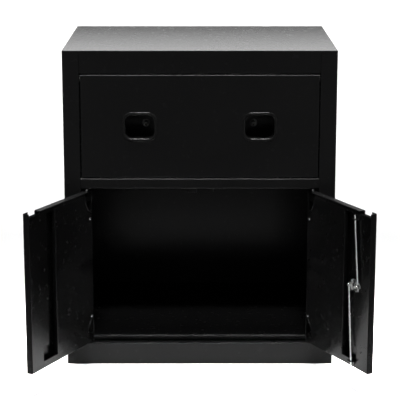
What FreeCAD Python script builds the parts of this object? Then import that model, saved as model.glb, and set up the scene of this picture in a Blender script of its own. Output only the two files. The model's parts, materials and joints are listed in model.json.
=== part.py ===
import FreeCAD, Part
import Sketcher
import math
import os

# Hose reel cabinet: a sheet-steel workshop base unit.  The upper bay holds two
# spring-rewind reels behind a lift-up flap with two hose outlets, the lower bay
# is a cupboard with two inset pivot-hung doors.
# Frame: millimetres, origin on the ground at the middle of the carcass
# footprint, +X to the right, +Y to the back, +Z up.  The doors stand open.

V = FreeCAD.Vector
doc = FreeCAD.newDocument("hose_reel_cabinet")
sheet = doc.addObject("Spreadsheet::Sheet", "Dims")
rows = [0]


class Dim:
    """A size with the cell expression that drives it."""

    def __init__(self, value, text):
        self.v = float(value)
        self.text = text

    @staticmethod
    def of(other):
        if isinstance(other, Dim):
            return other
        return Dim(other, "(%s)" % repr(float(other)) if other < 0 else repr(float(other)))

    def _do(self, other, sign, value):
        return Dim(value, "(%s %s %s)" % (self.text, sign, other.text))

    def __add__(self, other):
        other = Dim.of(other)
        return self._do(other, "+", self.v + other.v)

    def __sub__(self, other):
        other = Dim.of(other)
        return self._do(other, "-", self.v - other.v)

    def __mul__(self, other):
        other = Dim.of(other)
        return self._do(other, "*", self.v * other.v)

    def __truediv__(self, other):
        other = Dim.of(other)
        return self._do(other, "/", self.v / other.v)

    def __radd__(self, other):
        return Dim.of(other) + self

    def __rsub__(self, other):
        return Dim.of(other) - self

    def __rmul__(self, other):
        return Dim.of(other) * self

    def __neg__(self):
        return Dim(-self.v, "(0 - %s)" % self.text)


def cell(alias, value, note):
    """One driving dimension of the sheet."""
    rows[0] += 1
    sheet.set("A%d" % rows[0], alias)
    sheet.set("B%d" % rows[0], repr(float(value)))
    sheet.set("C%d" % rows[0], note)
    sheet.setAlias("B%d" % rows[0], alias)
    return Dim(value, "Dims." + alias)


# ---- driving dimensions ------------------------------------------------------
width = cell("width", 720, "outside width")
depth = cell("depth", 545, "outside depth")
height = cell("height", 858, "outside height")
gauge = cell("gauge", 1.2, "carcass sheet")
stile = cell("stile", 44, "face width of a front post")
reveal = cell("reveal", 26, "depth of the returns behind the front face")
toprail_lo = cell("toprail_lo", 797.5, "lower edge of the top rail")
midrail_lo = cell("midrail_lo", 489.5, "lower edge of the middle rail")
midrail_hi = cell("midrail_hi", 517.5, "upper edge of the middle rail")
plinth_hi = cell("plinth_hi", 59, "height of the plinth")
ledge = cell("ledge", 21.5, "depth of the plinth's top return")
floor_hi = cell("floor_hi", 73, "top of the cupboard floor")
floor_set = cell("floor_set", 29, "floor edge behind the front face")
floor_nose = cell("floor_nose", 11, "height of the floor's front fold")
deck_gauge = cell("deck_gauge", 1.5, "reel deck sheet")
door_edge = cell("door_edge", 313, "hinge edge of a door from the middle")
door_gap = cell("door_gap", 1.5, "half the gap between the doors")
door_lo = cell("door_lo", 62, "lower edge of a door")
door_hi = cell("door_hi", 481, "top flange of a door")
door_thick = cell("door_thick", 18, "thickness of a door")
skin = cell("skin", 1.0, "door and flap sheet")
bend = cell("bend", 3, "outer bend at the hinge edge")
pivot_x = cell("pivot_x", 301.5, "door pivot from the middle")
pivot_in = cell("pivot_in", 8.5, "pivot behind the front face")
open_deg = cell("open_deg", 116.5, "door opening in degrees")
pin_rad = cell("pin_rad", 3, "pivot pin radius")
fit = cell("fit", 0.05, "running clearance on radius")
notch_a = cell("notch_a", 257, "top notch start from the hinge edge")
notch_b = cell("notch_b", 289, "top notch end from the hinge edge")
notch_hi = cell("notch_hi", 471, "floor of the top notch")
tab_hi = cell("tab_hi", 483, "top of the corner tab")
return_a = cell("return_a", 229, "inner return start from the hinge edge")
return_b = cell("return_b", 257, "inner return start near the bottom")
liner_w = cell("liner_w", 190, "inner panel width from the hinge edge")
liner_gauge = cell("liner_gauge", 0.8, "inner panel sheet")
liner_lo = cell("liner_lo", 80, "inner panel lower edge")
liner_hi = cell("liner_hi", 472, "inner panel upper edge")
hole_rad = cell("hole_rad", 3.2, "perforation radius")
hole_step = cell("hole_step", 39, "perforation pitch")
hole_s = cell("hole_s", 63, "first perforation column from the hinge edge")
hole_z = cell("hole_z", 112, "first perforation row above the ground")
corner_rad = cell("corner_rad", 47, "pivot access cut-out radius")
lock_s = cell("lock_s", 248, "lock from the hinge edge")
lock_z = cell("lock_z", 283, "lock above the ground")
cam_u = cell("cam_u", 20.5, "cam pin along the door")
cam_v = cell("cam_v", 3, "cam pin above the lock axis")
bar_rad = cell("bar_rad", 2.5, "lock rod radius")
bar_in = cell("bar_in", 25, "lock rod behind the front face")
flap_half = cell("flap_half", 313.5, "half the width of the flap")
flap_lo = cell("flap_lo", 520.3, "lower edge of the flap")
flap_hi = cell("flap_hi", 794.7, "upper edge of the flap")
flap_drop = cell("flap_drop", 11, "flap pivot below its upper edge")
outlet_x = cell("outlet_x", 158, "hose outlet from the middle")
outlet_z = cell("outlet_z", 656.5, "hose outlet above the ground")
outlet_w = cell("outlet_w", 76, "hose outlet clear width")
outlet_t = cell("outlet_t", 62, "hose outlet clear height")
outlet_r = cell("outlet_r", 16.5, "hose outlet corner")
sleeve = cell("sleeve", 24, "length of the outlet sleeve")
reel_x = cell("reel_x", 158, "reel middle plane from the middle")
reel_y = cell("reel_y", 110, "reel axle in front of the middle")
reel_z = cell("reel_z", 650, "reel axle above the ground")
reel_rad = cell("reel_rad", 115, "reel flange radius")
hub_rad = cell("hub_rad", 55, "reel hub radius")
hub_len = cell("hub_len", 95, "clear width between the reel flanges")
flange_t = cell("flange_t", 2.5, "reel flange sheet")
axle_rad = cell("axle_rad", 12.5, "reel axle radius")
case_rad = cell("case_rad", 72, "spring case radius")
case_len = cell("case_len", 29, "spring case length")
arm_t = cell("arm_t", 4, "reel bracket plate")
arm_gap = cell("arm_gap", 12, "bracket arm from the reel flange")
wall_x = cell("wall_x", 250, "wall fixing from the middle")
wall_lo = cell("wall_lo", 540, "lower wall fixing, inside the reel bay")
wall_hi = cell("wall_hi", 810, "upper wall fixing")
wall_rad = cell("wall_rad", 4.5, "wall fixing hole radius")
gland_rad = cell("gland_rad", 22, "supply grommet hole radius")
gland_z = cell("gland_z", 560, "supply grommet above the ground")
doc.recompute()

front = -(depth / 2)
back = depth / 2
half = width / 2
top_in = height - gauge

nodes = {}
count = [0]


def fresh(stem):
    count[0] += 1
    return "%s_%03d" % (stem, count[0])


def bind(obj, prop, size):
    """Ties one property of an object to the sheet."""
    size = Dim.of(size)
    obj.setExpression(prop, size.text)


def at(obj, x, y, z):
    for name, size in (("x", x), ("y", y), ("z", z)):
        bind(obj, "Placement.Base." + name, size)


def box(x, y, z):
    """A block from three (low, high) pairs."""
    obj = doc.addObject("Part::Box", fresh("block"))
    for prop, pair in (("Length", x), ("Width", y), ("Height", z)):
        bind(obj, prop, Dim.of(pair[1]) - pair[0])
    at(obj, x[0], y[0], z[0])
    return obj


TURN = {
    "x": FreeCAD.Rotation(V(0, 1, 0), 90),
    "y": FreeCAD.Rotation(V(1, 0, 0), -90),
    "z": FreeCAD.Rotation(),
}


def bar(axis, x, y, z, radius, length, sweep=None, turn=None):
    """A round bar that starts at a point and runs along +axis."""
    obj = doc.addObject("Part::Cylinder", fresh("round"))
    obj.Placement = FreeCAD.Placement(V(0, 0, 0), turn if turn is not None else TURN[axis])
    bind(obj, "Radius", radius)
    bind(obj, "Height", length)
    if sweep is not None:
        obj.Angle = sweep
    at(obj, x, y, z)
    return obj


def hexagon(axis, x, y, z, radius, length):
    """A hexagon prism that starts at a point and runs along +axis."""
    obj = doc.addObject("Part::Prism", fresh("hex"))
    obj.Polygon = 6
    obj.Placement = FreeCAD.Placement(V(0, 0, 0), TURN[axis])
    bind(obj, "Circumradius", radius)
    bind(obj, "Height", length)
    at(obj, x, y, z)
    return obj


def fuse(*shapes):
    obj = doc.addObject("Part::MultiFuse", fresh("fuse"))
    obj.Shapes = list(shapes)
    obj.Refine = True
    return obj


def cut(base, *tools):
    obj = doc.addObject("Part::Cut", fresh("cut"))
    obj.Base = base
    if len(tools) == 1:
        obj.Tool = tools[0]
    else:
        both = doc.addObject("Part::Compound", fresh("tools"))
        both.Links = list(tools)
        obj.Tool = both
    obj.Refine = True
    return obj


def group(*shapes):
    obj = doc.addObject("Part::Compound", fresh("group"))
    obj.Links = list(shapes)
    return obj


def node(label, obj, placement=None):
    """Names a finished piece and puts it in its place."""
    if placement is not None:
        obj.Placement = placement.multiply(obj.Placement)
    obj.Label = label
    nodes[label] = obj
    return obj


def plane(body, role):
    return [f for f in body.Origin.OriginFeatures if f.Role == role][0]


def outline(body, role, points, name="profile"):
    """A closed sketch whose corners are tied to the sheet."""
    sk = body.newObject("Sketcher::SketchObject", fresh(name))
    sk.AttachmentSupport = (plane(body, role), [""])
    sk.MapMode = "FlatFace"
    pts = [(Dim.of(u), Dim.of(w)) for u, w in points]
    n = len(pts)
    for i in range(n):
        a, b = pts[i], pts[(i + 1) % n]
        sk.addGeometry(Part.LineSegment(V(a[0].v, a[1].v, 0), V(b[0].v, b[1].v, 0)))
    for i in range(n):
        sk.addConstraint(Sketcher.Constraint("Coincident", i, 2, (i + 1) % n, 1))
    for i, (u, w) in enumerate(pts):
        for kind, size, line in (("DistanceX", u, -2), ("DistanceY", w, -1)):
            if abs(size.v) < 1e-9:
                sk.addConstraint(Sketcher.Constraint("PointOnObject", i, 1, line))
            else:
                c = sk.addConstraint(Sketcher.Constraint(kind, -1, 1, i, 1, size.v))
                tag = "%s%d" % ("u" if kind == "DistanceX" else "w", i)
                sk.renameConstraint(c, tag)
                sk.setExpression("Constraints." + tag, size.text)
    return sk


def circles(body, role, spots, name="holes"):
    """A sketch of round holes: (u, w, radius) tied to the sheet."""
    sk = body.newObject("Sketcher::SketchObject", fresh(name))
    sk.AttachmentSupport = (plane(body, role), [""])
    sk.MapMode = "FlatFace"
    for i, (u, w, r) in enumerate(spots):
        u, w, r = Dim.of(u), Dim.of(w), Dim.of(r)
        sk.addGeometry(Part.Circle(V(u.v, w.v, 0), V(0, 0, 1), r.v))
        c = sk.addConstraint(Sketcher.Constraint("Radius", i, r.v))
        sk.renameConstraint(c, "r%d" % i)
        sk.setExpression("Constraints.r%d" % i, r.text)
        for kind, size, line, tag in (("DistanceX", u, -2, "u"), ("DistanceY", w, -1, "w")):
            if abs(size.v) < 1e-9:
                sk.addConstraint(Sketcher.Constraint("PointOnObject", i, 3, line))
            else:
                c = sk.addConstraint(Sketcher.Constraint(kind, -1, 1, i, 3, size.v))
                sk.renameConstraint(c, "%s%d" % (tag, i))
                sk.setExpression("Constraints.%s%d" % (tag, i), size.text)
    return sk


def new_body():
    return doc.addObject("PartDesign::Body", fresh("body"))


def pad(body, sk, length, reverse=False):
    p = body.newObject("PartDesign::Pad", fresh("pad"))
    p.Profile = sk
    p.Reversed = reverse
    bind(p, "Length", length)
    sk.Visibility = False
    return p


def rolled(role, points, length):
    """A folded section run straight for a length."""
    body = new_body()
    pad(body, outline(body, role, points), length)
    return body


def turned(points, rotation, x, y, z):
    """A turned piece: (radius, length) profile about its own axis."""
    body = new_body()
    sk = outline(body, "XZ_Plane", points)
    r = body.newObject("PartDesign::Revolution", fresh("turn"))
    r.Profile = sk
    r.ReferenceAxis = (sk, ["V_Axis"])
    r.Angle = 360
    body.Placement = FreeCAD.Placement(V(0, 0, 0), rotation)
    at(body, x, y, z)
    return body


def span(side, a, b):
    """(low, high) in X of two distances from the middle on one side."""
    return (Dim.of(a), Dim.of(b)) if side > 0 else (-Dim.of(b), -Dim.of(a))


SIDES = ((-1, "left"), (1, "right"))

# ---- carcass -----------------------------------------------------------------
# Side sheets stand behind the front posts and run down to the ground.
for side, word in SIDES:
    node("side_panel_" + word, box(span(side, half - gauge, half), (front + gauge, back), (0, top_in)))

# The top is one flat sheet that covers the edges of the sides, back and rail.
lid = rolled("XY_Plane", [(-half, front), (half, front), (half, back), (-half, back)], gauge)
at(lid, 0, 0, top_in)
node("top_panel", lid)

# Front posts: a face and a return that the door edge shuts against.
for side, word in SIDES:
    inner = half - stile
    sgn = float(side)
    post = rolled(
        "XY_Plane",
        [
            (inner * sgn, front),
            (half * sgn, front),
            (half * sgn, front + gauge),
            ((inner + gauge) * sgn, front + gauge),
            ((inner + gauge) * sgn, front + reveal),
            (inner * sgn, front + reveal),
        ],
        top_in - plinth_hi,
    )
    at(post, 0, 0, plinth_hi)
    flap_hole = bar("x", span(side, inner - 2, inner + 4)[0], front + pivot_in, flap_hi - flap_drop, 5.0, 6.0)
    node("front_post_" + word, cut(post, flap_hole))

# Top rail: a face with one return over the flap.
opening = half - stile
top_rail = rolled(
    "YZ_Plane",
    [
        (front, toprail_lo),
        (front + reveal, toprail_lo),
        (front + reveal, toprail_lo + gauge),
        (front + gauge, toprail_lo + gauge),
        (front + gauge, top_in),
        (front, top_in),
    ],
    opening * 2,
)
at(top_rail, -opening, 0, 0)
node("top_rail", top_rail)

# Middle rail: a channel, open to the back, that carries the upper door pivots.
mid = rolled(
    "YZ_Plane",
    [
        (front, midrail_lo),
        (front + reveal, midrail_lo),
        (front + reveal, midrail_lo + gauge),
        (front + gauge, midrail_lo + gauge),
        (front + gauge, midrail_hi - gauge),
        (front + reveal, midrail_hi - gauge),
        (front + reveal, midrail_hi),
        (front, midrail_hi),
    ],
    opening * 2,
)
at(mid, -opening, 0, 0)
mid_holes = [bar("z", pivot_x * float(s), front + pivot_in, midrail_lo - 2, 5.0, 6.0) for s, w in SIDES]
node("middle_rail", cut(mid, *mid_holes))

# Plinth: a full-width face with a top ledge that carries the lower door pivots.
plinth = fuse(
    box((-half, half), (front, front + gauge), (0, plinth_hi)),
    box((-(half - gauge), half - gauge), (front, front + ledge), (plinth_hi - gauge, plinth_hi)),
    box((-(half - gauge), half - gauge), (front, front + ledge), (0, gauge)),
)
plinth_holes = [bar("z", pivot_x * float(s), front + pivot_in, plinth_hi - 4, 5.0, 6.0) for s, w in SIDES]
node("plinth", cut(plinth, *plinth_holes))

# Back sheet with four wall fixings and two supply grommet holes.
rear = box((-(half - gauge), half - gauge), (back - gauge, back), (0, top_in))
rear_holes = [
    bar("y", wall_x * float(s), back - gauge - 2, z, wall_rad, 6.0) for s, w in SIDES for z in (wall_lo, wall_hi)
] + [bar("y", reel_x * float(s), back - gauge - 2, gland_z, gland_rad, 6.0) for s, w in SIDES]
node("back_panel", cut(rear, *rear_holes))

# Cupboard floor with a front fold, its edge set back behind the shut doors.
floor = rolled(
    "YZ_Plane",
    [
        (front + floor_set, floor_hi - floor_nose),
        (front + floor_set + gauge, floor_hi - floor_nose),
        (front + floor_set + gauge, floor_hi - gauge),
        (back - gauge, floor_hi - gauge),
        (back - gauge, floor_hi),
        (front + floor_set, floor_hi),
    ],
    (half - gauge) * 2,
)
at(floor, -(half - gauge), 0, 0)
node("floor_panel", floor)

# Channels under the floor: one down each side and one across the middle.
rails = []
for side, word in SIDES:
    low, high = span(side, half - gauge - 26, half - gauge)
    web = span(side, half - gauge * 2, half - gauge)
    ends = (front + floor_set + 4, back - gauge - 2)
    rails.append(
        fuse(
            box((low, high), ends, (0, gauge)),
            box((low, high), ends, (floor_hi - gauge * 2, floor_hi - gauge)),
            box(web, ends, (0, floor_hi - gauge)),
        )
    )
node("base_side_rails", group(*rails))
cross = rolled(
    "YZ_Plane",
    [
        (-30, 0),
        (30, 0),
        (30, floor_hi - gauge),
        (-30, floor_hi - gauge),
        (-30, floor_hi - gauge * 2),
        (Dim.of(30) - gauge, floor_hi - gauge * 2),
        (Dim.of(30) - gauge, gauge),
        (-30, gauge),
    ],
    (half - 30) * 2,
)
at(cross, -(half - 30), 0, 0)
node("floor_stiffener", cross)

# Reel deck: it rests on the middle rail's lower return and on side angles.
deck_lo = midrail_lo + gauge
deck_hi = deck_lo + deck_gauge
tongue = 280.0
deck = rolled(
    "XY_Plane",
    [
        (-tongue, front + 12),
        (tongue, front + 12),
        (tongue, front + reveal + 1),
        (half - gauge, front + reveal + 1),
        (half - gauge, back - gauge),
        (-(half - gauge), back - gauge),
        (-(half - gauge), front + reveal + 1),
        (-tongue, front + reveal + 1),
    ],
    deck_gauge,
)
at(deck, 0, 0, deck_lo)
foot_x0 = reel_x - hub_len / 2 - flange_t - arm_gap - arm_t
foot_len = 124.0
bolt_spots = []
for side, word in SIDES:
    for dx in (30.0, 108.0):
        for dy in (-52.0, 52.0):
            bolt_spots.append(((foot_x0 + dx) * float(side), -reel_y + dy))
deck_holes = [bar("z", x, y, deck_lo - 2, 4.2, 8.0) for x, y in bolt_spots]
node("reel_deck", cut(deck, *deck_holes))

angles = []
for side, word in SIDES:
    leg = span(side, half - gauge * 2, half - gauge)
    arm = span(side, half - gauge - 22, half - gauge)
    run = (front + reveal + 6, back - gauge - 1)
    angles.append(fuse(box(leg, run, (deck_lo - 22, deck_lo)), box(arm, run, (deck_lo - gauge, deck_lo))))
angles.append(
    fuse(
        box((-(half - 60), half - 60), (back - gauge * 2, back - gauge), (deck_lo - 22, deck_lo)),
        box((-(half - 60), half - 60), (back - gauge - 22, back - gauge), (deck_lo - gauge, deck_lo)),
    )
)
node("deck_angles", group(*angles))

# Pop rivets that hold the deck angles to the side sheets and the back sheet.
rivets = []
for side, word in SIDES:
    for y in (-200.0, -70.0, 70.0, 200.0):
        x = half - gauge * 2 - 1.4 if side > 0 else -(half - gauge * 2)
        rivets.append(bar("x", x, y, deck_lo - 13, 3.6, 1.4))
for x in (-240.0, -80.0, 80.0, 240.0):
    rivets.append(bar("y", x, back - gauge * 2 - 1.4, deck_lo - 13, 3.6, 1.4))
node("deck_rivets", group(*rivets))

# Rubber membrane grommets for the supply lines.
glands = []
for side, word in SIDES:
    glands.append(
        turned(
            [
                (0, -0.6),
                (gland_rad - 3, -0.6),
                (gland_rad - 3, -4.2),
                (gland_rad + 4, -4.2),
                (gland_rad + 4, -gauge),
                (gland_rad - 0.1, -gauge),
                (gland_rad - 0.1, 0),
                (gland_rad + 4, 0),
                (gland_rad + 3, 1.6),
                (gland_rad - 3, 1.6),
                (gland_rad - 4, 0.6),
                (0, 0.6),
            ],
            TURN["y"],
            reel_x * float(side),
            back,
            gland_z,
        )
    )
node("supply_grommets", group(*glands))

# ---- door pivots on the carcass --------------------------------------------
# Flanged plastic bushes: one in the middle rail and one in the ledge per door.
bushes = []
for side, word in SIDES:
    for base, up in ((midrail_lo, 1.0), (plinth_hi, -1.0)):
        bushes.append(
            turned(
                [
                    (pin_rad + fit, up * 4.6),
                    (pin_rad + fit, -up * 2.0),
                    (7.5, -up * 2.0),
                    (7.5, 0),
                    (4.9, 0),
                    (4.9, up * 4.6),
                ],
                TURN["z"],
                pivot_x * float(side),
                front + pivot_in,
                base,
            )
        )

# The flap turns in two bushes in the post returns.
flap_y = front + pivot_in
flap_z = flap_hi - flap_drop
for side, word in SIDES:
    s = float(side)
    bushes.append(
        turned(
            [
                (pin_rad + fit, s * 5.0),
                (pin_rad + fit, -s * 1.6),
                (7.0, -s * 1.6),
                (7.0, 0),
                (4.9, 0),
                (4.9, s * 5.0),
            ],
            TURN["x"],
            opening * s,
            flap_y,
            flap_z,
        )
    )
node("pivot_bushes", group(*bushes))

# Keeper: the upper lock rod rises behind this tab.
keeper_x = door_edge - lock_s - 2.0
keeper = fuse(
    box((keeper_x - 12, keeper_x + 12), (front + 20.3, front + 21.5), (midrail_lo - 7, midrail_lo)),
    box((keeper_x - 12, keeper_x + 12), (front + 9, front + 21.5), (midrail_lo - gauge, midrail_lo)),
)
node("rod_keeper", keeper)

# Magnetic catches: two for the doors under the middle rail, two for the flap
# on top of it.
door_catch = []
for side, word in SIDES:
    low, high = span(side, 8, 36)
    door_catch.append(box((low, high), (front + door_thick + 0.5, front + reveal + 6), (midrail_lo - 14, midrail_lo)))
node("door_catches", group(*door_catch))
flap_catch = []
for side, word in SIDES:
    low, high = span(side, 222, 262)
    flap_catch.append(box((low, high), (front + door_thick + 0.4, front + reveal + 8), (midrail_hi, midrail_hi + 15)))
node("flap_catches", group(*flap_catch))

# ---- doors -------------------------------------------------------------------
# Each door is drawn shut and then turned about its pivot to stand open.
door_w = door_edge - door_gap


def open_door(side):
    return FreeCAD.Placement(
        V(0, 0, 0),
        FreeCAD.Rotation(V(0, 0, 1), side * open_deg.v),
        V(side * pivot_x.v, front.v + pivot_in.v, 0),
    )


def along(side, a, b):
    """X of two distances from the hinge edge."""
    return span(side, door_edge - b, door_edge - a)


def into(a, b):
    """Y of two depths behind the front face."""
    return (front + a, front + b)


for side, word in SIDES:
    s = float(side)
    turn = open_door(side)
    flange_in = door_thick - skin
    quarter = FreeCAD.Rotation(V(0, 0, 1), -90 if side > 0 else 180)
    curl = cut(
        bar("z", (door_edge - bend) * s, front + bend, door_lo, bend, door_hi - door_lo, 90, quarter),
        bar("z", (door_edge - bend) * s, front + bend, door_lo, bend - skin, door_hi - door_lo, 90, quarter),
    )
    pieces = [
        curl,
        # outer face, notched beside the raised corner tab
        box(along(side, bend, notch_a), into(0, skin), (door_lo, door_hi)),
        box(along(side, notch_a, notch_b), into(0, skin), (door_lo, notch_hi)),
        box(along(side, notch_b, door_w), into(0, skin), (door_lo, tab_hi)),
        # hinge edge and free edge
        box(along(side, 0, skin), into(bend, door_thick), (door_lo, door_hi)),
        box(along(side, door_w - skin, door_w), into(0, door_thick), (door_lo, tab_hi)),
        # bottom flange and its lip
        box(along(side, bend, door_w), into(0, door_thick), (door_lo, door_lo + skin)),
        box(along(side, 0, bend), into(bend, door_thick), (door_lo, door_lo + skin)),
        box(along(side, bend, return_b), into(flange_in, door_thick), (door_lo, door_lo + 19)),
        # top flange and its lip
        box(along(side, bend, notch_a), into(0, door_thick), (door_hi - skin, door_hi)),
        box(along(side, 0, bend), into(bend, door_thick), (door_hi - skin, door_hi)),
        box(along(side, 37, notch_a), into(flange_in, door_thick), (door_hi - 12, door_hi)),
        # wide inner return on the free edge, cut back near the bottom
        box(along(side, return_a, door_w), into(flange_in, door_thick), (door_lo + 58, notch_hi + 3)),
        box(along(side, return_b, door_w), into(flange_in, door_thick), (door_lo, door_lo + 58)),
        # narrow lip on the hinge edge between the pivot cut-outs
        box(along(side, 0, 14), into(flange_in, door_thick), (133, 430)),
    ]
    tools = [
        bar("z", pivot_x * s, front + pivot_in, door_hi - 4, pin_rad, 8.0),
        bar("z", pivot_x * s, front + pivot_in, door_lo - 4, pin_rad, 8.0),
    ]
    if side > 0:
        tools.append(bar("y", door_edge - lock_s, front - 2, lock_z, 11.3, door_thick + 6))
    node("door_%s_skin" % word, cut(fuse(*pieces), *tools), turn)

    # Perforated inner panel with a folded free edge and two round cut-outs that
    # leave room for the pivots.
    body = new_body()
    liner_a = 2.0
    pad(
        body,
        outline(
            body,
            "XY_Plane",
            [(liner_a, liner_lo), (liner_w, liner_lo), (liner_w, liner_hi), (liner_a, liner_hi)],
        ),
        liner_gauge,
    )
    pad(
        body,
        outline(
            body,
            "XY_Plane",
            [(liner_w - liner_gauge, liner_lo), (liner_w, liner_lo), (liner_w, liner_hi), (liner_w - liner_gauge, liner_hi)],
        ),
        9.0 if side > 0 else liner_gauge + 9.0,
        side > 0,
    )
    doc.recompute()
    rounds = body.newObject("PartDesign::Pocket", fresh("cutouts"))
    rounds.Profile = circles(body, "XY_Plane", [(-12, 85, corner_rad), (-12, 467, corner_rad)])
    rounds.Type = 1
    rounds.Reversed = True
    doc.recompute()
    row = body.newObject("PartDesign::Pocket", fresh("row"))
    row_sk = circles(body, "XY_Plane", [(hole_s + hole_step * float(i), hole_z, hole_rad) for i in range(4)])
    row.Profile = row_sk
    row.Type = 1
    row.Reversed = True
    doc.recompute()
    grid = body.newObject("PartDesign::LinearPattern", fresh("grid"))
    grid.Originals = [row]
    grid.Direction = (row_sk, ["V_Axis"])
    grid.Occurrences = 9
    bind(grid, "Length", hole_step * 8.0)
    body.Tip = grid
    doc.recompute()
    base = FreeCAD.Matrix(
        -s, 0, 0, s * door_edge.v,
        0, 0, s, front.v + door_thick.v,
        0, 1, 0, 0,
        0, 0, 0, 1,
    )
    if side < 0:
        # on this side the sheet grows towards the front, so it starts deeper in
        base = FreeCAD.Matrix(1, 0, 0, -door_edge.v, 0, 0, -1, front.v + door_thick.v + liner_gauge.v, 0, 1, 0, 0, 0, 0, 0, 1)
    body.Placement = FreeCAD.Placement(base)
    node("door_%s_inner_panel" % word, body, turn)

    # Pivot pins, and the welded blocks inside the door that hold them.
    pins = group(
        bar("z", pivot_x * s, front + pivot_in, door_hi - 26, pin_rad, midrail_lo + 4.0 - (door_hi - 26)),
        bar("z", pivot_x * s, front + pivot_in, plinth_hi - 4.0, pin_rad, door_lo + 26 - (plinth_hi - 4.0)),
    )
    node("door_%s_pivot_pins" % word, pins, turn)
    blocks = []
    for z0, z1 in ((door_lo + skin, door_lo + 26), (door_hi - 26, door_hi - skin)):
        block = box(along(side, skin + 0.2, 22), into(skin + 0.2, 15.5), (z0, z1))
        blocks.append(cut(block, bar("z", pivot_x * s, front + pivot_in, z0 - 2, pin_rad, 40.0)))
    blocks = [
        cut(b, box(along(side, 0, bend + 0.4), into(0, bend + 0.4), (door_lo, door_hi))) for b in blocks
    ]
    node("door_%s_pivot_blocks" % word, group(*blocks), turn)

    # Zinc screws that hold the inner panel to the hinge lip.
    screws = []
    for z in (136.0, 407.0):
        screws.append(
            turned(
                [(0, 0), (4.2, 0), (4.2, 0.8), (3.2, 2.0), (1.6, 2.6), (0, 2.6)],
                TURN["y"],
                (door_edge - 12.5) * s,
                front + door_thick + liner_gauge,
                z,
            )
        )
    node("door_%s_screws" % word, group(*screws), turn)

# ---- lock on the right door ---------------------------------------------------
turn = open_door(1)
lock_x = door_edge - lock_s
cam_in = door_thick + 1.8

housing = turned(
    [
        (4.6, -3.0),
        (12.5, -3.0),
        (14.5, -1.6),
        (14.5, 0),
        (11.0, 0),
        (11.0, door_thick + 1.5),
        (4.6, door_thick + 1.5),
    ],
    TURN["y"],
    lock_x,
    front,
    lock_z,
)
strap = cut(
    box(along(1, lock_s - 15.5, lock_s + 15.5), into(door_thick, door_thick + 1.5), (lock_z - 15, lock_z + 15)),
    bar("y", lock_x, front + door_thick - 1, lock_z, 10.9, 6.0),
)
node("lock_housing", fuse(housing, strap), turn)

# The spindle carries a wing knob outside and the cam inside.
spindle = turned(
    [
        (0, -8.0),
        (9.5, -8.0),
        (11.0, -6.5),
        (11.0, -3.4),
        (4.5, -3.4),
        (4.5, cam_in + 5.5),
        (0, cam_in + 5.5),
    ],
    TURN["y"],
    lock_x,
    front,
    lock_z,
)
wing = box((lock_x - 3.0, lock_x + 3.0), (front - 20, front - 7.0), (lock_z - 14, lock_z + 14))
node("lock_spindle", fuse(spindle, wing), turn)

# Cam: a stamped zinc plate with turned-up sides and an arm to each rod pin.
cam_arm = math.degrees(math.atan2(cam_v.v, cam_u.v))
cam_len = math.hypot(cam_u.v, cam_v.v)
plate = doc.addObject("Part::Box", fresh("plate"))
bind(plate, "Length", 2 * cam_len)
bind(plate, "Width", 2.0)
bind(plate, "Height", 14.0)
plate.Placement = FreeCAD.Placement(
    V(lock_x.v, front.v + cam_in.v, lock_z.v),
    FreeCAD.Rotation(V(0, 1, 0), cam_arm),
).multiply(FreeCAD.Placement(V(-cam_len, 0, -7), FreeCAD.Rotation()))
cam_pieces = [plate]
for sign in (1.0, -1.0):
    px = lock_x - cam_u * sign
    pz = lock_z + cam_v * sign
    cam_pieces.append(bar("y", px, front + cam_in, pz, 7.0, 2.0))
    cam_pieces.append(bar("y", px, front + cam_in, pz, 2.0, bar_in + bar_rad + 1.2 - cam_in))
cam_pieces.append(box((lock_x - 13, lock_x + 13), (front + cam_in, front + cam_in + 2.0), (lock_z - 14, lock_z + 14)))
for a, b in ((-13.0, -10.6), (10.6, 13.0)):
    cam_pieces.append(box((lock_x + a, lock_x + b), (front + cam_in, front + cam_in + 5.4), (lock_z - 14, lock_z + 14)))
node("lock_cam", cut(fuse(*cam_pieces), bar("y", lock_x, front + cam_in - 1, lock_z, 4.5, 5.0)), turn)


# A nut holds the cam on the spindle, and a push-on clip holds each rod on its pin.
lock_nut = cut(
    hexagon("y", lock_x, front + cam_in + 2.0, lock_z, 7.5, 3.2),
    bar("y", lock_x, front + cam_in + 1.0, lock_z, 4.5, 6.0),
)
lock_clips = []
for sign in (1.0, -1.0):
    px = lock_x - cam_u * sign
    pz = lock_z + cam_v * sign
    lock_clips.append(
        cut(
            bar("y", px, front + bar_in + bar_rad + 0.45, pz, 3.8, 0.7),
            bar("y", px, front + bar_in + bar_rad, pz, 2.0, 2.0),
        )
    )
node("lock_fasteners", group(lock_nut, *lock_clips), turn)


def lock_rod(px, pz, tip_x, tip_z):
    """A straight rod with an eye on its cam pin."""
    dx, dz = tip_x - px.v, tip_z - pz.v
    length = math.hypot(dx, dz)
    lean = math.degrees(math.atan2(dx, dz))
    shank = doc.addObject("Part::Cylinder", fresh("rod"))
    bind(shank, "Radius", bar_rad)
    bind(shank, "Height", length)
    shank.Placement = FreeCAD.Placement(
        V(px.v, front.v + bar_in.v, pz.v), FreeCAD.Rotation(V(0, 1, 0), lean)
    )
    eye = bar("y", px, front + bar_in - bar_rad - 0.15, pz, 5.6, bar_rad * 2 + 0.3)
    hole = bar("y", px, front + bar_in - bar_rad - 1, pz, 2.0 + fit.v, bar_rad * 2 + 2)
    return cut(fuse(shank, eye), hole)


upper_pin = (lock_x - cam_u, lock_z + cam_v)
lower_pin = (lock_x + cam_u, lock_z - cam_v)
node("upper_lock_rod", lock_rod(upper_pin[0], upper_pin[1], door_edge.v - 248.0, 469.0), turn)
node("lower_lock_rod", lock_rod(lower_pin[0], lower_pin[1], door_edge.v - 246.0, 71.0), turn)

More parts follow.
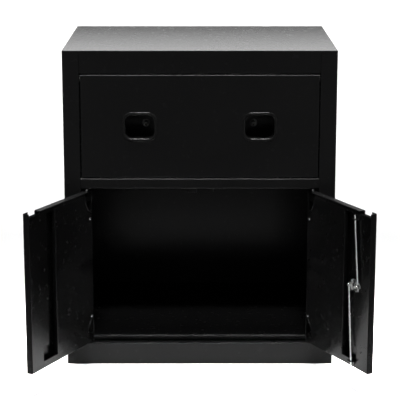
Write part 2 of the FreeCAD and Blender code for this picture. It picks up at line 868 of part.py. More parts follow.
# Slotted guides steady the two rods: one on the inner return near the top, one
# on the lip of the bottom flange.
guides = []
for z, a, b, foot_lo, foot_hi in ((458.0, 244.0, 259.0, 458.0, 469.0), (79.5, 236.5, 249.5, 69.0, 81.0)):
    plate_g = box(along(1, a - 3, b + 3), into(door_thick, bar_in + 6.5), (z, z + 1.5))
    slot = box(along(1, a, b), into(bar_in - 3.3, bar_in + 3.3), (z - 1, z + 3))
    foot = box(along(1, a - 3, b + 3), into(door_thick, door_thick + 1.5), (foot_lo, foot_hi))
    guides.append(cut(fuse(plate_g, foot), slot))
node("rod_guides", group(*guides), turn)

# ---- flap ----------------------------------------------------------------------
flange_in = door_thick - skin
ends = (-flap_half, flap_half)
curl = cut(
    bar("x", -flap_half, front + bend, flap_hi - bend, bend, flap_half * 2),
    bar("x", -flap_half, front + bend, flap_hi - bend, bend - skin, flap_half * 2),
)
quarter_box = box(ends, into(0, bend), (flap_hi - bend, flap_hi))
curl_q = doc.addObject("Part::Common", fresh("quarter"))
curl_q.Base = curl
curl_q.Tool = quarter_box
tray = fuse(
    curl_q,
    box(ends, into(0, skin), (flap_lo, flap_hi - bend)),
    box(ends, into(bend, door_thick), (flap_hi - skin, flap_hi)),
    box(ends, into(0, door_thick), (flap_lo, flap_lo + skin)),
    box(ends, into(flange_in, door_thick), (flap_hi - 14, flap_hi)),
    box(ends, into(flange_in, door_thick), (flap_lo, flap_lo + 14)),
    box((-flap_half, -(flap_half - skin)), into(skin, door_thick), (flap_lo, flap_hi - bend)),
    box((flap_half - skin, flap_half), into(skin, door_thick), (flap_lo, flap_hi - bend)),
    box((-flap_half, -(flap_half - 14)), into(flange_in, door_thick), (flap_lo, flap_hi)),
    box((flap_half - 14, flap_half), into(flange_in, door_thick), (flap_lo, flap_hi)),
)


def window(x, wide, tall, radius, y0, y1):
    """A round-cornered block through the flap at one outlet."""
    wide, tall, radius = Dim.of(wide), Dim.of(tall), Dim.of(radius)
    parts = [
        box((x - wide / 2 + radius, x + wide / 2 - radius), (y0, y1), (outlet_z - tall / 2, outlet_z + tall / 2)),
        box((x - wide / 2, x + wide / 2), (y0, y1), (outlet_z - tall / 2 + radius, outlet_z + tall / 2 - radius)),
    ]
    for i in (-1.0, 1.0):
        for j in (-1.0, 1.0):
            parts.append(
                bar(
                    "y",
                    x + (wide / 2 - radius) * i,
                    y0,
                    outlet_z + (tall / 2 - radius) * j,
                    radius,
                    Dim.of(y1) - y0,
                )
            )
    return fuse(*parts)


flap_tools = []
for side, word in SIDES:
    x = outlet_x * float(side)
    flap_tools.append(window(x, outlet_w + 4.4, outlet_t + 4.4, outlet_r + 2.2, front - 3, front + 12))
    flap_tools.append(bar("x", span(side, flap_half - 3, flap_half + 2)[0], flap_y, flap_z, pin_rad, 5.0))
node("flap_panel", cut(tray, *flap_tools))

# Outlet bezels: a moulded lip on the face and a short sleeve behind it.
bezels = []
for side, word in SIDES:
    x = outlet_x * float(side)
    lip = window(x, outlet_w + 16, outlet_t + 16, outlet_r + 8, front - 2.4, front)
    tube = window(x, outlet_w + 4, outlet_t + 4, outlet_r + 2, front - 0.8, front + sleeve)
    clear = window(x, outlet_w, outlet_t, outlet_r, front - 4, front + sleeve + 4)
    bezels.append(cut(fuse(lip, tube), clear))
node("outlet_bezels", group(*bezels))

pins = []
for side, word in SIDES:
    low, high = span(side, flap_half - 8, opening + 6)
    pins.append(bar("x", low, flap_y, flap_z, pin_rad, high - low))
node("flap_pivot_pins", group(*pins))
blocks = []
for side, word in SIDES:
    low, high = span(side, flap_half - 12, flap_half - skin)
    block = box((low, high), into(skin + 0.2, 15), (flap_z - 8, flap_hi - bend - 0.2))
    blocks.append(cut(block, bar("x", low - 2, flap_y, flap_z, pin_rad, 20.0)))
node("flap_pivot_blocks", group(*blocks))

# ---- reels ---------------------------------------------------------------------
for side, word in SIDES:
    s = float(side)

    def out(a):
        """X of a distance from the reel's middle plane towards the side."""
        return (reel_x + a) * s

    inner_f = -(hub_len / 2) - flange_t
    arm_in = inner_f - arm_gap - arm_t
    # L bracket: a foot on the deck and one arm beside the drum
    a0, a1 = (reel_x + arm_in), (reel_x + arm_in + arm_t)
    foot = box(span(side, a0, a0 + foot_len), (-reel_y - 70, -reel_y + 70), (deck_hi, deck_hi + arm_t))
    arm = box(span(side, a0, a1), (-reel_y - 45, -reel_y + 45), (deck_hi, reel_z))
    crown = bar("x", span(side, a0, a1)[0], -reel_y, reel_z, 45.0, arm_t)
    holes = [bar("x", span(side, a0 - 2, a1)[0], -reel_y, reel_z, axle_rad, arm_t + 4)]
    for dx in (30.0, 108.0):
        for dy in (-52.0, 52.0):
            holes.append(bar("z", (foot_x0 + dx) * s, -reel_y + dy, deck_hi - 2, 4.2, 10.0))
    node("reel_%s_bracket" % word, cut(fuse(foot, arm, crown), *holes))

    # Fixed axle with a shoulder against the arm.
    length = hub_len / 2 + flange_t + case_len - 6
    axle = fuse(
        bar("x", span(side, a0 - 14, reel_x + length)[0], -reel_y, reel_z, axle_rad, reel_x + length - (a0 - 14)),
        bar("x", span(side, a1, a1 + 4)[0], -reel_y, reel_z, 19.0, 4.0),
    )
    node("reel_%s_axle" % word, axle)

    # Drum: hub shell with end webs, two rimmed flanges, plain bushes.
    hl = hub_len / 2
    hub = turned(
        [
            (16.0, -hl),
            (hub_rad, -hl),
            (hub_rad, hl),
            (16.0, hl),
            (16.0, hl - 10),
            (hub_rad - 4, hl - 10),
            (hub_rad - 4, -(hl - 10)),
            (16.0, -(hl - 10)),
        ],
        TURN["x"],
        reel_x * s,
        -reel_y,
        reel_z,
    )
    tail_seat = bar("y", out(-13.5), -reel_y - hub_rad - 2, reel_z, 7.0, 12.0)
    node("reel_%s_hub" % word, cut(hub, tail_seat))
    flanges = []
    for e in (1.0, -1.0):
        flanges.append(
            turned(
                [
                    (17.0, e * hl),
                    (reel_rad, e * hl),
                    (reel_rad, e * (hl + 8)),
                    (reel_rad - 2.5, e * (hl + 8)),
                    (reel_rad - 2.5, e * (hl + flange_t)),
                    (17.0, e * (hl + flange_t)),
                ],
                TURN["x"],
                reel_x * s,
                -reel_y,
                reel_z,
            )
        )
    node("reel_%s_flanges" % word, group(*flanges))
    bushes = []
    for e in (1.0, -1.0):
        bushes.append(
            turned(
                [
                    (axle_rad + fit, e * (hl - 12)),
                    (axle_rad + fit, e * (hl + 1.5)),
                    (16.0, e * (hl + 1.5)),
                    (16.0, e * (hl - 12)),
                ],
                TURN["x"],
                reel_x * s,
                -reel_y,
                reel_z,
            )
        )
    node("reel_%s_bushes" % word, group(*bushes))

    # Spring case on the outer flange, turning with the drum, and the flat
    # spiral spring wound inside it.
    c0 = hl + flange_t
    case = turned(
        [
            (case_rad - 2, s * c0),
            (case_rad, s * c0),
            (case_rad, s * (c0 + case_len)),
            (0, s * (c0 + case_len)),
            (0, s * (c0 + case_len - 2)),
            (case_rad - 2, s * (c0 + case_len - 2)),
        ],
        TURN["x"],
        reel_x * s,
        -reel_y,
        reel_z,
    )
    node("reel_%s_spring_case" % word, case)

    # The spring is a run of half-turn arcs whose radius grows by one pitch a turn.
    pitch, strip = 4.0, 1.0
    r0 = axle_rad.v + 3.0
    turns = int((case_rad.v - 5.0 - r0) / pitch)
    edges = []
    for k in range(2 * turns):
        up = -1.0 if k % 2 else 1.0
        c = pitch / 2.0 if k % 2 else 0.0
        for r in (r0 + k * pitch / 2.0, r0 + k * pitch / 2.0 + strip):
            edges.append(Part.Arc(V(c + up * r, 0, 0), V(c, up * r, 0), V(c - up * r, 0, 0)).toShape())
    for r in (r0, r0 + turns * pitch):
        edges.append(Part.LineSegment(V(r, 0, 0), V(r + strip, 0, 0)).toShape())
    wire = Part.Wire(Part.__sortEdges__(edges))
    coil = doc.addObject("Part::Feature", fresh("coil"))
    coil.Shape = Part.Face(wire).extrude(V(0, 0, case_len.v - 9))
    coil.Placement = FreeCAD.Placement(
        V(
            s * (reel_x.v + c0.v + 3) if side > 0 else s * (reel_x.v + c0.v + 3) - (case_len.v - 9),
            -reel_y.v,
            reel_z.v,
        ),
        TURN["x"],
    )
    node("reel_%s_spring" % word, coil)

    # Hose tail: a barbed fitting screwed into the hub, its bore open to the hose.
    tail = turned(
        [
            (3.5, -4.0),
            (7.0, -4.0),
            (7.0, 3.0),
            (10.0, 3.0),
            (10.0, 10.0),
            (5.6, 10.0),
            (5.6, 14.0),
            (7.0, 14.5),
            (5.6, 20.0),
            (7.0, 20.5),
            (5.6, 26.0),
            (7.0, 26.5),
            (5.4, 33.0),
            (3.5, 33.0),
        ],
        FreeCAD.Rotation(V(1, 0, 0), 90),
        out(-13.5),
        -reel_y - hub_rad,
        reel_z,
    )
    node("reel_%s_hose_tail" % word, tail)

# Swivel inlets on the inner ends of the axles.
inlets = []
nuts = []
for side, word in SIDES:
    s = float(side)
    x0 = reel_x - hub_len / 2 - flange_t - arm_gap - arm_t
    nuts.append(
        cut(
            hexagon("x", span(side, x0 - 9, x0)[0], -reel_y, reel_z, 21.0, 9.0),
            bar("x", span(side, x0 - 11, x0)[0], -reel_y, reel_z, axle_rad, 13.0),
        )
    )
    inlets.append(
        fuse(
            bar("x", span(side, x0 - 32, x0 - 14)[0], -reel_y, reel_z, 11.0, 18.0),
            bar("y", (x0 - 23) * s, -reel_y, reel_z, 8.0, 26.0),
            hexagon("y", (x0 - 23) * s, -reel_y + 14, reel_z, 11.0, 8.0),
        )
    )
node("axle_nuts", group(*nuts))
node("inlet_swivels", group(*inlets))

# Bolts that hold the brackets to the deck, with their nuts below.
bolts = []
for x, y in bolt_spots:
    bolts.append(
        fuse(
            bar("z", x, y, deck_lo - 9, 4.0, arm_t + deck_gauge + 9 + 0.5),
            hexagon("z", x, y, deck_hi + arm_t, 7.4, 5.3),
        )
    )
for x, y in bolt_spots:
    bolts.append(cut(hexagon("z", x, y, deck_lo - 6.5, 7.4, 6.5), bar("z", x, y, deck_lo - 8, 4.0, 10.0)))
node("reel_bolts", group(*bolts))

# ---- check and write -----------------------------------------------------------
doc.recompute()
bad = [o.Name + ":" + ",".join(o.State) for o in doc.Objects if "Invalid" in o.State or "Error" in o.State]
if bad:
    raise SystemExit("failed objects: " + "; ".join(bad))
os.makedirs("parts", exist_ok=True)
for label in sorted(nodes):
    shape = nodes[label].Shape
    if shape.isNull() or not shape.isValid() or not shape.Solids:
        raise SystemExit("bad shape: " + label)
    for solid in shape.Solids:
        if solid.Volume <= 0:
            raise SystemExit("no volume: " + label)
    shape.exportStep("parts/%s.step" % label)
    bb = shape.BoundBox
    print(
        "%-26s %2d solids  %10.1f mm3  x %.1f %.1f  y %.1f %.1f  z %.1f %.1f"
        % (label, len(shape.Solids), shape.Volume, bb.XMin, bb.XMax, bb.YMin, bb.YMax, bb.ZMin, bb.ZMax)
    )
print(len(nodes), "nodes")
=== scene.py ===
import json
import math

import bmesh
import bpy
from mathutils import Matrix, Vector
from mathutils.geometry import delaunay_2d_cdt


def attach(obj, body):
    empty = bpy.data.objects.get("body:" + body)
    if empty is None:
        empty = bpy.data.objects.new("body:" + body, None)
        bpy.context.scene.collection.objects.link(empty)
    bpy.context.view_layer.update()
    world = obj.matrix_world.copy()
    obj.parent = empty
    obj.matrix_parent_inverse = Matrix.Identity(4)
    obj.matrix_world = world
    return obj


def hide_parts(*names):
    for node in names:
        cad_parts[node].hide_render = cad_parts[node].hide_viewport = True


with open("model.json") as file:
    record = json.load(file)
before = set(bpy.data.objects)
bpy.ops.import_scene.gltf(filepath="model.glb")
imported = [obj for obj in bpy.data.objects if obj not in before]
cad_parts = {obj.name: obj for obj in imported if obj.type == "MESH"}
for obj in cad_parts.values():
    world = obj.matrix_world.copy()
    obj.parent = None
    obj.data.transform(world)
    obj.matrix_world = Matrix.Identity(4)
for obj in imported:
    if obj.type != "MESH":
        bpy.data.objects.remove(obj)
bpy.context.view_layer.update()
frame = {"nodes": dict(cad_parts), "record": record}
nodes = frame["nodes"]
record = frame["record"]
slot_of = {p["node"]: p["material_slot"] for p in record["subparts"]}
body_of = {n: b for b, ns in record["behaviour"]["bodies"].items() for n in ns}
scene = bpy.context.scene
MM = 0.001


# ---- camera --------------------------------------------------------------------
# Fitted to the outline of the carcass and the door corners in a square frame.
cam_data = bpy.data.cameras.new("camera")
cam_data.sensor_width = 36.0
cam_data.lens = 138.87
cam_data.clip_start = 0.1
cam_data.clip_end = 200.0
cam = bpy.data.objects.new("camera", cam_data)
cam.location = (-0.0026, -4.2726, 1.3927)
cam.rotation_euler = (math.radians(90.0 - 13.14), 0.0, math.radians(-0.045))
scene.collection.objects.link(cam)
scene.camera = cam
scene.view_settings.view_transform = "Standard"
scene.view_settings.look = "None"


# ---- stage and light -----------------------------------------------------------
def tree_of(mat):
    mat.use_nodes = True
    nt = mat.node_tree
    nt.nodes.clear()
    out = nt.nodes.new("ShaderNodeOutputMaterial")
    bsdf = nt.nodes.new("ShaderNodeBsdfPrincipled")
    nt.links.new(bsdf.outputs["BSDF"], out.inputs["Surface"])
    return nt, bsdf


def add(nt, kind, **values):
    n = nt.nodes.new(kind)
    for k, v in values.items():
        if k in n.inputs:
            n.inputs[k].default_value = v
        else:
            setattr(n, k, v)
    return n


def noise(nt, coord, scale, detail=2.0, rough=0.5, stretch=None):
    """A noise field in metres: scale is in waves per metre."""
    src = coord
    if stretch is not None:
        m = add(nt, "ShaderNodeMapping")
        m.inputs["Scale"].default_value = stretch
        nt.links.new(coord, m.inputs["Vector"])
        src = m.outputs["Vector"]
    n = add(nt, "ShaderNodeTexNoise", Scale=scale, Detail=detail, Roughness=rough)
    nt.links.new(src, n.inputs["Vector"])
    return n.outputs["Fac"]


def ranged(nt, fac, lo, hi, a=0.3, b=0.7):
    r = add(nt, "ShaderNodeMapRange")
    r.inputs["From Min"].default_value = a
    r.inputs["From Max"].default_value = b
    r.inputs["To Min"].default_value = lo
    r.inputs["To Max"].default_value = hi
    nt.links.new(fac, r.inputs["Value"])
    return r.outputs["Result"]


def ramp(nt, fac, stops):
    r = add(nt, "ShaderNodeValToRGB")
    els = r.color_ramp.elements
    while len(els) < len(stops):
        els.new(0.5)
    for e, (p, c) in zip(els, stops):
        e.position = p
        e.color = (*c, 1.0)
    nt.links.new(fac, r.inputs["Fac"])
    return r.outputs["Color"]


def bumped(nt, bsdf, layers):
    """Stacks bump layers: (height socket, strength, distance in metres)."""
    normal = None
    for height, strength, distance in layers:
        b = add(nt, "ShaderNodeBump", Strength=strength, Distance=distance)
        nt.links.new(height, b.inputs["Height"])
        if normal is not None:
            nt.links.new(normal, b.inputs["Normal"])
        normal = b.outputs["Normal"]
    nt.links.new(normal, bsdf.inputs["Normal"])


def object_coord(nt):
    return add(nt, "ShaderNodeTexCoord").outputs["Object"]


floor_mat = bpy.data.materials.new("stage_floor")
nt, bsdf = tree_of(floor_mat)
co = object_coord(nt)
nt.links.new(ramp(nt, noise(nt, co, 0.8, 3.0), [(0.3, (0.87, 0.87, 0.87)), (0.7, (0.90, 0.90, 0.90))]), bsdf.inputs["Base Color"])
bsdf.inputs["Roughness"].default_value = 0.9
bsdf.inputs["Specular IOR Level"].default_value = 0.1

me = bpy.data.meshes.new("stage_floor")
bm = bmesh.new()
bmesh.ops.create_grid(bm, x_segments=4, y_segments=4, size=1.0)
for v in bm.verts:
    v.co.x, v.co.y = 8.0 * v.co.x, 38.0 * v.co.y - 22.0
bm.to_mesh(me)
bm.free()
floor = bpy.data.objects.new("stage_floor", me)
floor.location = (0.0, 0.0, -0.0004)
floor.data.materials.append(floor_mat)
scene.collection.objects.link(floor)

world = bpy.data.worlds.new("studio")
scene.world = world
world.use_nodes = True
wt = world.node_tree
wt.nodes.clear()
w_out = wt.nodes.new("ShaderNodeOutputWorld")
w_bg = wt.nodes.new("ShaderNodeBackground")
w_co = wt.nodes.new("ShaderNodeTexCoord")
w_xyz = wt.nodes.new("ShaderNodeSeparateXYZ")
wt.links.new(w_co.outputs["Generated"], w_xyz.inputs["Vector"])
w_back = ranged(wt, w_xyz.outputs["Y"], 0.0, 1.0, -0.6, 0.9)
w_col = ramp(wt, w_back, [(0.0, (0.05, 0.05, 0.051)), (0.5, (0.12, 0.12, 0.12)), (1.0, (0.13, 0.13, 0.13))])
# A pale band along the horizon, as of walls a long way off.
w_low = ranged(wt, w_xyz.outputs["Z"], 0.0, 1.0, -0.2, 0.2)
w_band = ramp(wt, w_low, [(0.45, (0.60, 0.60, 0.60)), (0.53, (0.55, 0.55, 0.55)), (0.70, (0.0, 0.0, 0.0))])
w_sum = add(wt, "ShaderNodeMix", data_type="RGBA", blend_type="ADD")
w_sum.inputs["Factor"].default_value = 1.0
wt.links.new(w_col, w_sum.inputs[6])
wt.links.new(w_band, w_sum.inputs[7])
wt.links.new(w_sum.outputs[2], w_bg.inputs["Color"])
wt.links.new(w_bg.outputs["Background"], w_out.inputs["Surface"])


def area(name, at, size_x, size_y, watts, aim, spread=180.0):
    d = bpy.data.lights.new(name, "AREA")
    d.shape = "RECTANGLE"
    d.size, d.size_y = size_x, size_y
    d.energy = watts
    d.spread = math.radians(spread)
    o = bpy.data.objects.new(name, d)
    o.location = at
    o.rotation_euler = (Vector(aim) - Vector(at)).to_track_quat("-Z", "Y").to_euler()
    o.visible_camera = False
    scene.collection.objects.link(o)
    return o


# One long ceiling of light over the floor behind the set, a softbox over the
# front of the object that lights the floor round it, a strip high in front and
# a low card on each side that draw the rolled edges, and a panel behind for the
# top.
area("ceiling_light", (0.0, 7.6, 5.5), 8.0, 14.0, 570.0, (0.0, 7.6, 0.0), 75.0)
area("top_softbox", (0.0, -0.21, 2.1), 2.0, 0.7, 27.0, (0.0, -0.21, 0.0), 25.0)
area("edge_strip", (0.0, -2.00, 3.10), 1.3, 0.4, 4.3, (0.0, -0.27, 0.66), 17.0)
area("edge_card_left", (-0.66, -1.21, 0.42), 0.22, 0.72, 0.12, (-0.10, -0.27, 0.45), 45.0)
area("edge_card_right", (0.66, -1.21, 0.42), 0.22, 0.72, 0.12, (0.10, -0.27, 0.45), 45.0)
area("back_panel_light", (0.0, 1.05, 1.48), 3.0, 0.8, 24.5, (0.0, 0.0, 1.42), 180.0)


# ---- materials -----------------------------------------------------------------
def coat(name, dark, light, rough, ior, grain=0.015, peel=0.006):
    """Powder coat: fine grain and a slow orange peel over a tinted film."""
    mat = bpy.data.materials.new(name)
    nt, bsdf = tree_of(mat)
    co = object_coord(nt)
    nt.links.new(ramp(nt, noise(nt, co, 9.0, 4.0, 0.6), [(0.3, dark), (0.7, light)]), bsdf.inputs["Base Color"])
    nt.links.new(ranged(nt, noise(nt, co, 60.0, 5.0, 0.62), rough - 0.02, rough + 0.02), bsdf.inputs["Roughness"])
    bsdf.inputs["IOR"].default_value = ior
    bumped(
        nt,
        bsdf,
        [
            (noise(nt, co, 160.0, 2.0), peel, 0.0006),
            (noise(nt, co, 1100.0, 3.0, 0.6), grain, 0.0002),
        ],
    )
    return mat


def metal(name, dark, light, rough, spread, scale, stretch=None, grain=0.12):
    """Plated or bare metal with a cloudy film and fine drawing lines."""
    mat = bpy.data.materials.new(name)
    nt, bsdf = tree_of(mat)
    co = object_coord(nt)
    bsdf.inputs["Metallic"].default_value = 1.0
    nt.links.new(ramp(nt, noise(nt, co, scale, 4.0, 0.6), [(0.28, dark), (0.72, light)]), bsdf.inputs["Base Color"])
    nt.links.new(ranged(nt, noise(nt, co, scale * 2.3, 3.0), rough - spread, rough + spread), bsdf.inputs["Roughness"])
    bumped(nt, bsdf, [(noise(nt, co, 1500.0, 2.0, 0.5, stretch), grain, 0.0001)])
    return mat


def plastic(name, dark, light, rough, ior, grain=0.2, scale=1800.0):
    mat = bpy.data.materials.new(name)
    nt, bsdf = tree_of(mat)
    co = object_coord(nt)
    nt.links.new(ramp(nt, noise(nt, co, 30.0, 3.0), [(0.3, dark), (0.7, light)]), bsdf.inputs["Base Color"])
    nt.links.new(ranged(nt, noise(nt, co, 45.0, 4.0), rough - 0.06, rough + 0.06), bsdf.inputs["Roughness"])
    bsdf.inputs["IOR"].default_value = ior
    bumped(nt, bsdf, [(noise(nt, co, scale, 2.0), grain, 0.0001)])
    return mat


MATS = {
    "black_coat": coat("black_coat", (0.0026, 0.0026, 0.00265), (0.0031, 0.0031, 0.00315), 0.26, 1.18),
    "reel_coat": coat("reel_coat", (0.014, 0.014, 0.0145), (0.020, 0.020, 0.0205), 0.30, 1.35, 0.05, 0.05),
    "zinc": metal("zinc", (0.62, 0.63, 0.64), (0.78, 0.78, 0.76), 0.24, 0.06, 120.0),
    "spring_steel": metal("spring_steel", (0.16, 0.17, 0.20), (0.26, 0.27, 0.30), 0.34, 0.07, 90.0),
    "nickel": metal("nickel", (0.10, 0.10, 0.10), (0.16, 0.16, 0.155), 0.34, 0.06, 140.0),
    "brass": metal("brass", (0.55, 0.40, 0.17), (0.72, 0.55, 0.28), 0.27, 0.07, 140.0),
    "black_plastic": plastic("black_plastic", (0.0026, 0.0026, 0.0026), (0.0032, 0.0032, 0.0032), 0.27, 1.19, 0.03),
    "reel_plastic": plastic("reel_plastic", (0.022, 0.022, 0.023), (0.032, 0.032, 0.033), 0.46, 1.46),
    "bush_plastic": plastic("bush_plastic", (0.66, 0.64, 0.58), (0.74, 0.72, 0.66), 0.40, 1.48),
    "rubber": plastic("rubber", (0.010, 0.010, 0.010), (0.016, 0.016, 0.016), 0.68, 1.45, 0.3, 900.0),
}


# ---- formed pieces ---------------------------------------------------------------
def cad_bmesh(name):
    """A working copy of a CAD node with its flat faces merged."""
    bm = bmesh.new()
    bm.from_mesh(nodes[name].data)
    bmesh.ops.remove_doubles(bm, verts=bm.verts, dist=2e-6)
    bmesh.ops.dissolve_limit(bm, angle_limit=math.radians(0.5), verts=bm.verts, edges=bm.edges)
    bm.normal_update()
    return bm


def sharp_edges(bm, limit=32.0):
    lim = math.radians(limit)
    return [e for e in bm.edges if len(e.link_faces) == 2 and e.calc_face_angle(0.0) > lim]


def breadth(f):
    p = f.calc_perimeter()
    return 2.0 * f.calc_area() / p if p > 0 else 0.0


def round_edges(bm, fold=None, rim=0.0003, thin=0.0017, fold_steps=4, rim_steps=2):
    """Rolls the folds of a sheet to a bend radius and eases every cut edge."""
    if fold:
        folds = [e for e in sharp_edges(bm) if e.is_convex and min(breadth(f) for f in e.link_faces) > thin]
        if folds:
            bmesh.ops.bevel(bm, geom=folds, offset=fold, offset_type="OFFSET", segments=fold_steps, profile=0.5, affect="EDGES", clamp_overlap=False)
            bm.normal_update()
    if rim:
        cuts = [e for e in sharp_edges(bm) if e.is_convex]
        if cuts:
            bmesh.ops.bevel(bm, geom=cuts, offset=rim, offset_type="OFFSET", segments=rim_steps, profile=0.5, affect="EDGES", clamp_overlap=False)
            bm.normal_update()


def wound(p, ring):
    """How often an outline runs round a point, counter-clockwise."""
    n = 0
    for a, b in zip(ring, ring[1:] + ring[:1]):
        if (a.y <= p.y) != (b.y <= p.y) and a.x + (p.y - a.y) * (b.x - a.x) / (b.y - a.y) > p.x:
            n += 1 if b.y > a.y else -1
    return n


def fill_outlines(bm):
    """Fills each face of more than four corners with triangles inside its outline."""
    for f in [f for f in bm.faces if len(f.verts) > 4]:
        n = f.normal.copy()
        u = n.orthogonal().normalized()
        w = n.cross(u)
        rim = list(f.verts)
        at = sum((v.co.dot(n) for v in rim)) / len(rim)
        ring = [Vector((v.co.dot(u), v.co.dot(w))) for v in rim]
        links = [(i, (i + 1) % len(rim)) for i in range(len(rim))]
        pts, _, tris, source, _, _ = delaunay_2d_cdt(ring, links, [], 0, 1e-8)
        keep = [t for t in tris if wound((pts[t[0]] + pts[t[1]] + pts[t[2]]) / 3.0, ring) > 0]
        if not keep:
            continue
        bmesh.ops.delete(bm, geom=[f], context="FACES_ONLY")
        made = {}
        for t in keep:
            for i in t:
                if i not in made:
                    made[i] = rim[source[i][0]] if source[i] else bm.verts.new(u * pts[i].x + w * pts[i].y + n * at)
            corners = [made[i] for i in t]
            if len(set(corners)) == 3 and bm.faces.get(corners) is None:
                bm.faces.new(corners)
    bmesh.ops.delete(bm, geom=[e for e in bm.edges if not e.link_faces], context="EDGES")
    bm.normal_update()


def finish_mesh(bm, name, slot, body, smooth=38.0):
    fill_outlines(bm)
    lim = math.radians(smooth)
    for f in bm.faces:
        f.smooth = True
    for e in bm.edges:
        e.smooth = not (len(e.link_faces) == 2 and e.calc_face_angle(0.0) > lim)
    me = bpy.data.meshes.new(name)
    bm.to_mesh(me)
    bm.free()
    me.materials.append(MATS[slot])
    o = bpy.data.objects.new(name, me)
    scene.collection.objects.link(o)
    w = o.modifiers.new("weighted", "WEIGHTED_NORMAL")
    w.keep_sharp = True
    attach(o, body)
    return o


def formed(node, **rounding):
    """The finished form of a CAD node, in the same place and on the same body."""
    bm = cad_bmesh(node)
    round_edges(bm, **rounding)
    o = finish_mesh(bm, node + "_formed", slot_of[node], body_of[node])
    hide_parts(node)
    return o


SHEET = dict(fold=2.4 * MM, rim=0.3 * MM, thin=1.7 * MM)
SKIN = dict(fold=2.2 * MM, rim=0.26 * MM, thin=1.5 * MM)
LINER = dict(fold=1.7 * MM, rim=0.2 * MM, thin=1.2 * MM)
PLATE = dict(fold=4.0 * MM, rim=0.6 * MM, thin=4.6 * MM)

for n in ("side_panel_left", "side_panel_right", "top_panel", "front_post_left", "front_post_right", "top_rail", "plinth", "floor_panel", "back_panel", "base_side_rails", "floor_stiffener", "reel_deck", "deck_angles", "rod_keeper"):
    formed(n, **SHEET)
formed("middle_rail", **dict(SHEET, fold=3.4 * MM))
for n in ("door_left_skin", "door_right_skin", "flap_panel"):
    formed(n, **SKIN)
for n in ("door_left_inner_panel", "door_right_inner_panel"):
    formed(n, **LINER)
for n in ("reel_left_bracket", "reel_right_bracket"):
    formed(n, **PLATE)


def bezels(node):
    """Outlet bezels: a full roll into the mouth and a softer one to the flap."""
    bm = cad_bmesh(node)
    front = min(v.co.y for v in bm.verts)

    def lip():
        return [e for e in sharp_edges(bm) if e.is_convex and all(abs(v.co.y - front) < 1e-5 for v in e.verts)]

    def mouth(e):
        m = (e.verts[0].co + e.verts[1].co) / 2
        return abs(abs(m.x) - 158.0 * MM) < 38.6 * MM and abs(m.z - 656.5 * MM) < 31.6 * MM

    for want, r in ((True, 3.2 * MM), (False, 1.9 * MM)):
        edges = [e for e in lip() if mouth(e) is want]
        bmesh.ops.bevel(bm, geom=edges, offset=r, offset_type="OFFSET", segments=6, profile=0.5, affect="EDGES", clamp_overlap=False)
        bm.normal_update()
    round_edges(bm, rim=0.4 * MM)
    o = finish_mesh(bm, node + "_formed", slot_of[node], body_of[node])
    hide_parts(node)


bezels("outlet_bezels")
for n, r in (
    ("door_catches", 1.2),
    ("flap_catches", 1.2),
    ("door_left_pivot_blocks", 0.5),
    ("door_right_pivot_blocks", 0.5),
    ("flap_pivot_blocks", 0.5),
    ("door_left_pivot_pins", 0.5),
    ("door_right_pivot_pins", 0.5),
    ("flap_pivot_pins", 0.5),
    ("lock_housing", 0.35),
    ("lock_spindle", 0.9),
    ("lock_cam", 0.3),
    ("lock_fasteners", 0.3),
    ("rod_guides", 0.3),
    ("upper_lock_rod", 0.5),
    ("lower_lock_rod", 0.5),
    ("deck_rivets", 0.6),
    ("axle_nuts", 0.6),
    ("inlet_swivels", 0.6),
    ("reel_bolts", 0.4),
    ("reel_left_axle", 0.6),
    ("reel_right_axle", 0.6),
    ("reel_left_hub", 0.8),
    ("reel_right_hub", 0.8),
    ("reel_left_flanges", 0.6),
    ("reel_right_flanges", 0.6),
    ("reel_left_spring_case", 0.8),
    ("reel_right_spring_case", 0.8),
    ("pivot_bushes", 0.25),
    ("supply_grommets", 0.4),
):
    formed(n, fold=None, rim=r * MM)



def carved(node, boxes, rim):
    """A CAD node with slots cut into it: (centre, three half axes) for each slot."""
    cb = bmesh.new()
    for centre, u, v, w in boxes:
        corners = [cb.verts.new(centre + u * a + v * b + w * c) for a in (-1, 1) for b in (-1, 1) for c in (-1, 1)]
        for q in ((0, 1, 3, 2), (4, 6, 7, 5), (0, 4, 5, 1), (2, 3, 7, 6), (0, 2, 6, 4), (1, 5, 7, 3)):
            cb.faces.new([corners[k] for k in q])
    bmesh.ops.recalc_face_normals(cb, faces=cb.faces)
    pair = []
    for label, mesh in (("blank", cad_bmesh(node)), ("tool", cb)):
        me = bpy.data.meshes.new(node + "_" + label)
        mesh.to_mesh(me)
        mesh.free()
        o = bpy.data.objects.new(me.name, me)
        scene.collection.objects.link(o)
        pair.append(o)
    blank, tool = pair
    m = blank.modifiers.new("cut", "BOOLEAN")
    m.operation, m.solver, m.object, m.use_self = "DIFFERENCE", "EXACT", tool, True
    made = bpy.data.meshes.new_from_object(blank.evaluated_get(bpy.context.evaluated_depsgraph_get()))
    bm = bmesh.new()
    bm.from_mesh(made)
    for o in pair:
        me = o.data
        bpy.data.objects.remove(o)
        bpy.data.meshes.remove(me)
    bpy.data.meshes.remove(made)
    bmesh.ops.remove_doubles(bm, verts=bm.verts, dist=2e-6)
    bm.normal_update()
    round_edges(bm, rim=rim)
    o = finish_mesh(bm, node + "_formed", slot_of[node], body_of[node])
    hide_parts(node)


def door_point(side, s, d, z):
    """A point of an open door: from the hinge edge, behind the face, above ground."""
    a = math.radians(116.5)
    x, y = 313.0 - s - 301.5, d - 8.5
    return Vector((side * (301.5 + x * math.cos(a) - y * math.sin(a)), -264.0 + x * math.sin(a) + y * math.cos(a), z)) * MM


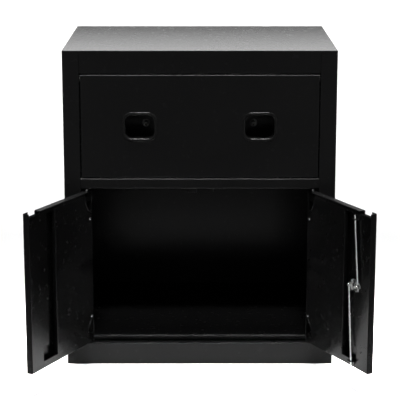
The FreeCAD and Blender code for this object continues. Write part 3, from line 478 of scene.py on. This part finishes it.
def cutout_rim(name, side, body, s0, z0, radius, first, last, bead=1.5, steps=28):
    """The rolled rim of a round cut-out: a bead swept along its arc, closed at both ends."""
    out = door_point(side, 0.0, 1.0, 0.0) - door_point(side, 0.0, 0.0, 0.0)
    out.normalize()
    bm = bmesh.new()
    rings = []
    for i in range(steps + 1):
        t = math.radians(first + (last - first) * i / steps)
        centre = door_point(side, s0 + radius * math.cos(t), 18.9, z0 + radius * math.sin(t))
        radial = door_point(side, s0 + (radius + 1.0) * math.cos(t), 18.9, z0 + (radius + 1.0) * math.sin(t)) - centre
        radial.normalize()
        rings.append([bm.verts.new(centre + (radial * math.cos(u) + out * math.sin(u)) * bead * MM) for u in (2.0 * math.pi * k / 12 for k in range(12))])
    for a, b in zip(rings, rings[1:]):
        for k in range(12):
            bm.faces.new((a[k], a[(k + 1) % 12], b[(k + 1) % 12], b[k]))
    for ring in (rings[0], rings[-1]):
        bm.faces.new(ring)
    bmesh.ops.recalc_face_normals(bm, faces=bm.faces)
    return finish_mesh(bm, name, "black_coat", body, 50.0)


for word, side in (("left", -1.0), ("right", 1.0)):
    # Cross recesses in the screw heads, each turned as the driver left it.
    out = (door_point(side, 0.0, 1.0, 0.0) - door_point(side, 0.0, 0.0, 0.0)).normalized()
    up = Vector((0.0, 0.0, 1.0))
    slots = []
    for z, angle in ((136.0, 28.0), (407.0, 64.0)):
        centre = door_point(side, 12.5, 18.8 + 2.6, z)
        for a in (angle, angle + 90.0):
            u = Matrix.Rotation(math.radians(a), 3, out) @ up
            slots.append((centre, u * 2.3 * MM, out.cross(u) * 0.5 * MM, out * 1.3 * MM))
    carved("door_%s_screws" % word, slots, 0.12 * MM)
    for place, z0, turn in (("lower", 85.0, 1.0), ("upper", 467.0, -1.0)):
        near = math.degrees(math.acos(15.5 / 48.2))
        far = -math.degrees(math.asin(3.6 / 48.2)) if place == "lower" else -math.degrees(math.asin(3.4 / 48.2))
        cutout_rim("door_%s_rim_%s" % (word, place), side, "door_" + word, -12.0, z0, 48.2, turn * near, turn * far)

# The rest keep their CAD shape and take the finish of their slot.
for n, o in nodes.items():
    if not o.hide_render:
        o.data.materials.clear()
        o.data.materials.append(MATS[slot_of[n]])
